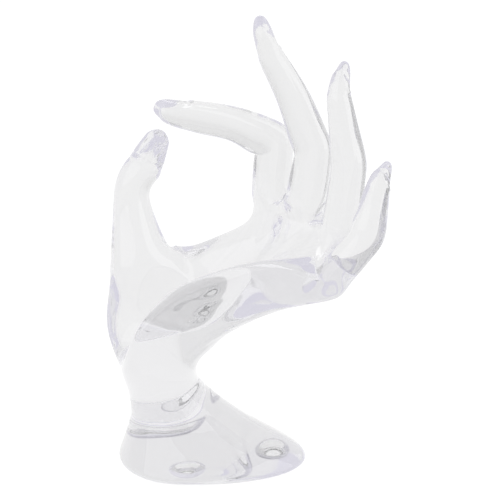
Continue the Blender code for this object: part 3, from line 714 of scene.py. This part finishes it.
def make_bumper(name, place, material):
    """A turned dome: radius f + (1 - f) sin t and height d (1 - cos t) carried round its axis.

    It is flat where it stands, and its straight rim goes on into the foot above the dome.
    """
    bend = np.linspace(0, math.pi / 2, 9)
    rim_r, rim_z = BUMPER_RIM
    dome_r = BUMPER_FLAT + (1 - BUMPER_FLAT) * np.sin(bend)
    r = np.concatenate([[BUMPER_INNER, BUMPER_FLAT], dome_r, rim_r])
    z = np.concatenate([[0, 0], BUMPER_DOME * (1 - np.cos(bend)), rim_z]) * (LIFT + BOND)
    turn = np.linspace(0, 2 * math.pi, BUMPER_SIDES, endpoint=False)
    rings = r[:, None, None] * BUMPER_RADIUS * np.stack([np.cos(turn), np.sin(turn)], 1)
    height = np.broadcast_to(z[:, None, None], (len(r), len(turn), 1))
    points = np.concatenate([rings + place, height], 2).reshape(-1, 3)
    grid = np.arange(len(points)).reshape(len(r), -1)
    low, high = grid[:-1], grid[1:]
    quads = np.stack([low, np.roll(low, -1, 1), np.roll(high, -1, 1), high], 2).reshape(-1, 4)
    caps = [grid[0, ::-1].tolist(), grid[-1].tolist()]
    mesh = bpy.data.meshes.new(name)
    mesh.from_pydata(points, [], quads.tolist() + caps)
    return finished(name, mesh, points, material)


# Materials

WHITE = (1.0, 1.0, 1.0, 1.0)

# The two finishes: the mould's ripple, the haze of handling, how much light bends on its way in,
# the tone of the faces it passes, the colour left by what is soaked up inside and how fast that
# goes, and the shade that lamps cast through it.
CLEAR_HAND = {
    "ripple": 0.06,
    "haze": 0.03,
    "ior": 1.49,
    "faces": (0.775, 0.775, 0.775, 1),
    "soak": (0.91, 0.9, 0.965, 1),
    "density": 5.5,
    "shade": (0.92, 0.92, 0.92, 1),
}
SOFT_BUMPER = {
    "ripple": 0.03,
    "haze": 0.3,
    "ior": 1.47,
    "faces": WHITE,
    "soak": (0.85, 0.85, 0.86, 1),
    "density": 12.0,
    "shade": (0.9, 0.9, 0.9, 1),
}

# A ray ends in pale violet light after this many turns in gloss, or this many in all.
GLOSS_TURNS = 3
ALL_TURNS = 10
ENDING = {"Color": (0.9, 0.89, 0.96, 1), "Strength": 0.9}


def node_group(name, inputs, outputs):
    """An empty shader group with named sockets, and its input and output nodes."""
    group = bpy.data.node_groups.new(name, "ShaderNodeTree")
    for label, kind in inputs:
        group.interface.new_socket(label, in_out="INPUT", socket_type=kind)
    for label, kind in outputs:
        group.interface.new_socket(label, in_out="OUTPUT", socket_type=kind)
    return group, group.nodes.new("NodeGroupInput"), group.nodes.new("NodeGroupOutput")


def add(tree, kind, **settings):
    """A node of this kind with these properties and, by position or name, socket values."""
    node = tree.nodes.new(kind)
    for key, value in settings.pop("values", {}).items():
        node.inputs[key].default_value = value
    for key, value in settings.items():
        setattr(node, key, value)
    return node


def mixed(tree, share, first, second):
    """The first shader where the share is nought, and the second where it is one."""
    mix = add(tree, "ShaderNodeMixShader")
    for socket, source in zip(mix.inputs, (share, first.outputs[0], second.outputs[0])):
        tree.links.new(source, socket)
    return mix


def either(tree, one, other):
    """One where one of two values is one."""
    higher = add(tree, "ShaderNodeMath", operation="MAXIMUM")
    tree.links.new(one, higher.inputs[0])
    tree.links.new(other, higher.inputs[1])
    return higher.outputs[0]


def more_than(tree, count, limit):
    """One where a count is above a limit."""
    above = add(tree, "ShaderNodeMath", operation="GREATER_THAN", values={1: limit + 0.5})
    tree.links.new(count, above.inputs[0])
    return above.outputs[0]


def moulded_surface():
    """Slow ripples that a mould leaves, and the haze that handling leaves in patches."""
    sockets = [("Ripple", "NodeSocketFloat"), ("Haze", "NodeSocketFloat")]
    results = [("Normal", "NodeSocketVector"), ("Roughness", "NodeSocketFloat")]
    group, given, result = node_group("moulded surface", sockets, results)
    link = group.links.new
    place = add(group, "ShaderNodeTexCoord")
    waves = add(group, "ShaderNodeTexNoise", values={"Scale": 55.0, "Detail": 1.5})
    link(place.outputs["Object"], waves.inputs["Vector"])
    bumps = add(group, "ShaderNodeBump", values={"Distance": 0.001})
    link(waves.outputs["Fac"], bumps.inputs["Height"])
    link(given.outputs["Ripple"], bumps.inputs["Strength"])
    link(bumps.outputs["Normal"], result.inputs["Normal"])
    patches = add(group, "ShaderNodeTexNoise", values={"Scale": 38.0, "Detail": 4.0})
    link(place.outputs["Object"], patches.inputs["Vector"])
    spread = add(group, "ShaderNodeMapRange", values={"From Min": 0.5, "From Max": 0.8})
    link(patches.outputs["Fac"], spread.inputs["Value"])
    link(given.outputs["Haze"], spread.inputs["To Max"])
    link(spread.outputs["Result"], result.inputs["Roughness"])
    return group


def clear_plastic(name, surface, finish):
    """See-through plastic that soaks up a little light on its way through.

    A light ray that would stop inside after many turns ends in pale light, and lamps shine
    through to the shelf.
    """
    material = bpy.data.materials.new(name)
    material.use_nodes = True
    tree = material.node_tree
    link = tree.links.new
    shader, output = tree.nodes["Principled BSDF"], tree.nodes["Material Output"]
    shader.inputs["Base Color"].default_value = finish["faces"]
    shader.inputs["Transmission Weight"].default_value = 1.0
    shader.inputs["IOR"].default_value = finish["ior"]
    mould = add(tree, "ShaderNodeGroup", node_tree=surface)
    mould.inputs["Ripple"].default_value = finish["ripple"]
    mould.inputs["Haze"].default_value = finish["haze"]
    link(mould.outputs["Normal"], shader.inputs["Normal"])
    link(mould.outputs["Roughness"], shader.inputs["Roughness"])
    path = add(tree, "ShaderNodeLightPath")
    lit = add(tree, "ShaderNodeBsdfTransparent", values={"Color": finish["shade"]})
    seen = mixed(tree, path.outputs["Is Shadow Ray"], ended_rays(tree, path, shader), lit)
    link(seen.outputs[0], output.inputs["Surface"])
    soaked = {"Color": finish["soak"], "Density": finish["density"]}
    tint = add(tree, "ShaderNodeVolumeAbsorption", values=soaked)
    link(tint.outputs[0], output.inputs["Volume"])
    return material


def ended_rays(tree, path, shader):
    """The shader, or pale light for a ray that has turned too often inside."""
    turned = more_than(tree, path.outputs["Glossy Depth"], GLOSS_TURNS)
    deep = more_than(tree, path.outputs["Ray Depth"], ALL_TURNS)
    pale = add(tree, "ShaderNodeEmission", values=ENDING)
    return mixed(tree, either(tree, turned, deep), shader, pale)


def seen_rays(tree):
    """One for rays of the eye, of gloss and through plastic, nought for those that only light."""
    path = add(tree, "ShaderNodeLightPath")
    gloss = either(tree, path.outputs["Is Camera Ray"], path.outputs["Is Glossy Ray"])
    return either(tree, gloss, path.outputs["Is Transmission Ray"])


def white_shelf():
    """A white shelf that keeps the object's shadow and meets the white room behind it."""
    material = bpy.data.materials.new("white shelf")
    material.use_nodes = True
    tree = material.node_tree
    link = tree.links.new
    shader, output = tree.nodes["Principled BSDF"], tree.nodes["Material Output"]
    shader.inputs["Roughness"].default_value = 0.7
    shader.inputs["Specular IOR Level"].default_value = 0.0
    place = add(tree, "ShaderNodeTexCoord")
    grain = add(tree, "ShaderNodeTexNoise", values={"Scale": 9.0, "Detail": 2.0})
    link(place.outputs["Object"], grain.inputs["Vector"])
    low, high = SHELF_TONES
    tone = add(tree, "ShaderNodeMapRange", values={"To Min": low, "To Max": high})
    link(grain.outputs["Fac"], tone.inputs["Value"])
    link(tone.outputs["Result"], shader.inputs["Base Color"])
    glow = add(tree, "ShaderNodeMapRange", values={"To Max": SHELF_GLOW})
    link(seen_rays(tree), glow.inputs["Value"])
    white = add(tree, "ShaderNodeEmission", values={"Color": WHITE})
    link(glow.outputs["Result"], white.inputs["Strength"])
    both = add(tree, "ShaderNodeAddShader")
    link(shader.outputs[0], both.inputs[0])
    link(white.outputs[0], both.inputs[1])
    link(both.outputs[0], output.inputs["Surface"])
    return material


# Studio

# Half the shelf's width in metres. The shelf's own tone and glow add up to white.
SHELF_HALF = 6.0
SHELF_TONES = (0.24, 0.26)
SHELF_GLOW = 0.82

# How brightly the room lights the shelf, where one is white.
ROOM_LIGHT = 0.75

# Soft boxes: place, width, height and power in watts, and what they are aimed at.
SOFT_BOXES = {
    "left soft box": ((-0.9, -0.75, 0.85), 1.7, 1.7, 6.6),
    "right soft box": ((1.0, -0.35, 0.6), 1.2, 1.4, 5.0),
    "top soft box": ((0.1, 0.1, 1.4), 0.7, 0.7, 4.0),
}
PALM_MIDDLE = (0.0, 0.0, 0.08)

SENSOR = 36.0


def make_shelf():
    """A wide flat square under the object."""
    corners = SHELF_HALF * np.array([[-1, -1, 0], [1, -1, 0], [1, 1, 0], [-1, 1, 0]])
    mesh = bpy.data.meshes.new("shelf")
    mesh.from_pydata(corners, [], [(0, 1, 2, 3)])
    mesh.materials.append(white_shelf())
    shelf = bpy.data.objects.new("shelf", mesh)
    bpy.context.scene.collection.objects.link(shelf)


def make_room():
    """A room that is white to the eye, in gloss and through plastic, and lights a little less."""
    world = bpy.data.worlds.new("studio room")
    bpy.context.scene.world = world
    world.use_nodes = True
    tree = world.node_tree
    tree.nodes.clear()
    light = add(tree, "ShaderNodeBackground", values={"Color": WHITE, "Strength": ROOM_LIGHT})
    white = add(tree, "ShaderNodeBackground", values={"Color": WHITE, "Strength": 1.0})
    room = mixed(tree, seen_rays(tree), light, white)
    output = add(tree, "ShaderNodeOutputWorld")
    tree.links.new(room.outputs[0], output.inputs["Surface"])


def aim(thing, place, target):
    """Puts a lamp or camera at a place, looking at a target, level from side to side."""
    back = Vector(place) - Vector(target)
    back.normalize()
    right = Vector((0, 0, 1)).cross(back).normalized()
    turn = Matrix((right, back.cross(right), back)).transposed().to_4x4()
    thing.matrix_world = Matrix.Translation(place) @ turn


def make_lamps():
    """Soft boxes aimed at the middle of the palm, seen in its gloss but not through the plastic."""
    for name, (place, wide, high, power) in SOFT_BOXES.items():
        lamp = bpy.data.lights.new(name, "AREA")
        lamp.shape = "RECTANGLE"
        lamp.size, lamp.size_y, lamp.energy = wide, high, power
        thing = bpy.data.objects.new(name, lamp)
        bpy.context.scene.collection.objects.link(thing)
        thing.visible_transmission = False
        aim(thing, place, PALM_MIDDLE)


def make_camera():
    """The camera, level from side to side and looking a little down."""
    target = (np.array(LOOK_AT) - (*MIDDLE, 0.0)) * MM
    back = np.array([0, -math.cos(VIEW_UP), math.sin(VIEW_UP)])
    lens = bpy.data.cameras.new("camera")
    lens.sensor_width = SENSOR
    lens.lens = SENSOR * DISTANCE / (PIXEL * PICTURE)
    lens.clip_start, lens.clip_end = 0.05, 60.0
    thing = bpy.data.objects.new("camera", lens)
    bpy.context.scene.collection.objects.link(thing)
    aim(thing, tuple(target + DISTANCE * MM * back), tuple(target))
    bpy.context.scene.camera = thing


def dress():
    """Makes the finished pieces and hangs them on the frame."""
    surface = moulded_surface()
    body = make_body(clear_plastic("clear plastic", surface, CLEAR_HAND))
    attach(body, "root")
    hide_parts("hand", "base")
    soft = clear_plastic("clear bumper", surface, SOFT_BUMPER)
    for name, place in BUMPER_PLACES.items():
        bumper = make_bumper("soft_" + name, place, soft)
        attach(bumper, "root")
        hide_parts(name)


dress()
make_shelf()
make_room()
make_lamps()
make_camera()
bpy.context.scene.view_settings.view_transform = "Standard"
